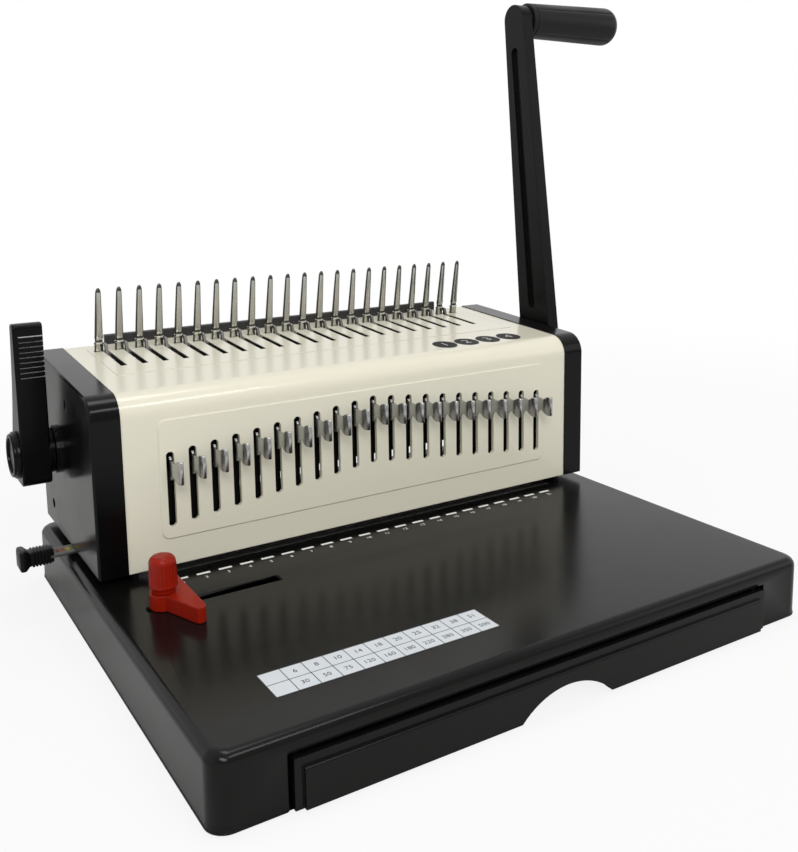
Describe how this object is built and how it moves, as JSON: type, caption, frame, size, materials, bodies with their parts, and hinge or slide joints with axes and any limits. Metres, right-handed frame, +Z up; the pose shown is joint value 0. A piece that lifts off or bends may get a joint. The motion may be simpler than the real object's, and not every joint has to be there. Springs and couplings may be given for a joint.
{
  "type": "binding machine",
  "caption": "Desk-top comb binding machine: flat base with chip drawer, punch housing with pull tabs, comb pins, cranked side handle and opening lever.",
  "frame": {"origin": "middle of the base's footprint, on the plane that the rubber feet rest on", "axes": "+X to the handle side, +Y from the operator to the back, +Z up"},
  "size_m": [0.5101, 0.3435, 0.4192],
  "materials": {
    "cream_paint": "satin",
    "black_gloss": "gloss",
    "black_paint": "gloss",
    "grey_steel": "satin",
    "bright_steel": "polished",
    "bronze": "satin",
    "red_plastic": "gloss",
    "grip_plastic": "satin",
    "foot_rubber": "matt"
  },
  "bodies": {
    "housing": {"base_shell": "black_gloss", "rubber_feet": "foot_rubber", "base_pan": "black_paint", "drawer_runners": "black_paint", "die_plate": "grey_steel", "punch_guide": "grey_steel", "right_side_frame": "grey_steel", "left_side_frame": "grey_steel", "shaft_bushes": "bronze", "housing_cover": "cream_paint", "right_end_cap": "black_gloss", "left_end_cap": "black_gloss", "cap_screws": "black_paint", "rear_cover": "black_paint", "rear_rail": "black_gloss", "pin_bar": "grey_steel", "comb_pins": "bright_steel", "return_spring": "grey_steel"},
    "drawer": {"chip_drawer": "black_gloss"},
    "handle": {"handle_shaft": "grey_steel", "drive_gears": "grey_steel", "handle_arm": "black_paint", "arm_bolt": "black_paint", "grip_stud": "grey_steel"},
    "grip": {"handle_grip": "grip_plastic"},
    "punch_press": {"punch_beam": "grey_steel", "punches": "grey_steel"},
    "opener": {"opener_shaft": "grey_steel", "opener_gears": "grey_steel", "opener_lever": "black_gloss", "lever_hub_cap": "black_gloss"},
    "hooks": {"hook_plate": "bright_steel"},
    "margin_slide": {"margin_strip": "grey_steel", "margin_knob": "black_gloss"},
    "paper_stop": {"depth_stop": "grey_steel"},
    "side_guide": {"edge_guide": "red_plastic", "clamp_bolt": "grey_steel"},
    "guide_clamp": {"clamp_knob": "red_plastic"},
    "tab_01": {"pull_tab_01": "grey_steel"},
    "tab_02": {"pull_tab_02": "grey_steel"},
    "tab_03": {"pull_tab_03": "grey_steel"},
    "tab_04": {"pull_tab_04": "grey_steel"},
    "tab_05": {"pull_tab_05": "grey_steel"},
    "tab_06": {"pull_tab_06": "grey_steel"},
    "tab_07": {"pull_tab_07": "grey_steel"},
    "tab_08": {"pull_tab_08": "grey_steel"},
    "tab_09": {"pull_tab_09": "grey_steel"},
    "tab_10": {"pull_tab_10": "grey_steel"},
    "tab_11": {"pull_tab_11": "grey_steel"},
    "tab_12": {"pull_tab_12": "grey_steel"},
    "tab_13": {"pull_tab_13": "grey_steel"},
    "tab_14": {"pull_tab_14": "grey_steel"},
    "tab_15": {"pull_tab_15": "grey_steel"},
    "tab_16": {"pull_tab_16": "grey_steel"},
    "tab_17": {"pull_tab_17": "grey_steel"},
    "tab_18": {"pull_tab_18": "grey_steel"},
    "tab_19": {"pull_tab_19": "grey_steel"},
    "tab_20": {"pull_tab_20": "grey_steel"},
    "tab_21": {"pull_tab_21": "grey_steel"}
  },
  "joints": [
    {"name": "drawer_slide", "type": "slide", "parent": "housing", "child": "drawer", "axis": [0, -1, 0], "range_m": [0, 0.15]},
    {"name": "handle_pull", "type": "hinge", "parent": "housing", "child": "handle", "pos_m": [0, 0.086, 0.1015], "axis": [1, 0, 0], "range_deg": [0, 80], "stiffness_Nm_per_rad": 1.2, "springref_deg": -25.78},
    {"name": "grip_spin", "type": "hinge", "parent": "handle", "child": "grip", "pos_m": [0.245, 0.12094, 0.40349], "axis": [1, 0, 0], "continuous": true},
    {"name": "punch_stroke", "type": "slide", "parent": "housing", "child": "punch_press", "axis": [0, 0, -1], "range_m": [0, 0.02374]},
    {"name": "opener_turn", "type": "hinge", "parent": "housing", "child": "opener", "pos_m": [0, 0.124, 0.103], "axis": [1, 0, 0], "range_deg": [0, 90]},
    {"name": "hook_slide", "type": "slide", "parent": "housing", "child": "hooks", "axis": [0, -1, 0], "range_m": [0, 0.02513]},
    {"name": "margin_set", "type": "slide", "parent": "housing", "child": "margin_slide", "axis": [-1, 0, 0], "range_m": [0, 0.012]},
    {"name": "stop_depth", "type": "slide", "parent": "housing", "child": "paper_stop", "axis": [0, 1, 0], "range_m": [0, 0.003]},
    {"name": "guide_slide", "type": "slide", "parent": "housing", "child": "side_guide", "axis": [1, 0, 0], "range_m": [-0.005, 0.068]},
    {"name": "clamp_turn", "type": "hinge", "parent": "side_guide", "child": "guide_clamp", "pos_m": [-0.164, -0.013, 0.06], "axis": [0, 0, 1], "range_deg": [-180, 180]},
    {"name": "tab_01_pull", "type": "slide", "parent": "punch_press", "child": "tab_01", "axis": [0, -1, 0], "range_m": [0, 0.007]},
    {"name": "tab_02_pull", "type": "slide", "parent": "punch_press", "child": "tab_02", "axis": [0, -1, 0], "range_m": [0, 0.007]},
    {"name": "tab_03_pull", "type": "slide", "parent": "punch_press", "child": "tab_03", "axis": [0, -1, 0], "range_m": [0, 0.007]},
    {"name": "tab_04_pull", "type": "slide", "parent": "punch_press", "child": "tab_04", "axis": [0, -1, 0], "range_m": [0, 0.007]},
    {"name": "tab_05_pull", "type": "slide", "parent": "punch_press", "child": "tab_05", "axis": [0, -1, 0], "range_m": [0, 0.007]},
    {"name": "tab_06_pull", "type": "slide", "parent": "punch_press", "child": "tab_06", "axis": [0, -1, 0], "range_m": [0, 0.007]},
    {"name": "tab_07_pull", "type": "slide", "parent": "punch_press", "child": "tab_07", "axis": [0, -1, 0], "range_m": [0, 0.007]},
    {"name": "tab_08_pull", "type": "slide", "parent": "punch_press", "child": "tab_08", "axis": [0, -1, 0], "range_m": [0, 0.007]},
    {"name": "tab_09_pull", "type": "slide", "parent": "punch_press", "child": "tab_09", "axis": [0, -1, 0], "range_m": [0, 0.007]},
    {"name": "tab_10_pull", "type": "slide", "parent": "punch_press", "child": "tab_10", "axis": [0, -1, 0], "range_m": [0, 0.007]},
    {"name": "tab_11_pull", "type": "slide", "parent": "punch_press", "child": "tab_11", "axis": [0, -1, 0], "range_m": [0, 0.007]},
    {"name": "tab_12_pull", "type": "slide", "parent": "punch_press", "child": "tab_12", "axis": [0, -1, 0], "range_m": [0, 0.007]},
    {"name": "tab_13_pull", "type": "slide", "parent": "punch_press", "child": "tab_13", "axis": [0, -1, 0], "range_m": [0, 0.007]},
    {"name": "tab_14_pull", "type": "slide", "parent": "punch_press", "child": "tab_14", "axis": [0, -1, 0], "range_m": [0, 0.007]},
    {"name": "tab_15_pull", "type": "slide", "parent": "punch_press", "child": "tab_15", "axis": [0, -1, 0], "range_m": [0, 0.007]},
    {"name": "tab_16_pull", "type": "slide", "parent": "punch_press", "child": "tab_16", "axis": [0, -1, 0], "range_m": [0, 0.007]},
    {"name": "tab_17_pull", "type": "slide", "parent": "punch_press", "child": "tab_17", "axis": [0, -1, 0], "range_m": [0, 0.007]},
    {"name": "tab_18_pull", "type": "slide", "parent": "punch_press", "child": "tab_18", "axis": [0, -1, 0], "range_m": [0, 0.007]},
    {"name": "tab_19_pull", "type": "slide", "parent": "punch_press", "child": "tab_19", "axis": [0, -1, 0], "range_m": [0, 0.007]},
    {"name": "tab_20_pull", "type": "slide", "parent": "punch_press", "child": "tab_20", "axis": [0, -1, 0], "range_m": [0, 0.007]},
    {"name": "tab_21_pull", "type": "slide", "parent": "punch_press", "child": "tab_21", "axis": [0, -1, 0], "range_m": [0, 0.007]}
  ],
  "couplings": [
    {"joint": "punch_stroke", "follows": "handle_pull", "m_per_rad": 0.017},
    {"joint": "hook_slide", "follows": "opener_turn", "m_per_rad": 0.016},
    {"joint": "stop_depth", "follows": "margin_set", "ratio": 0.25}
  ]
}
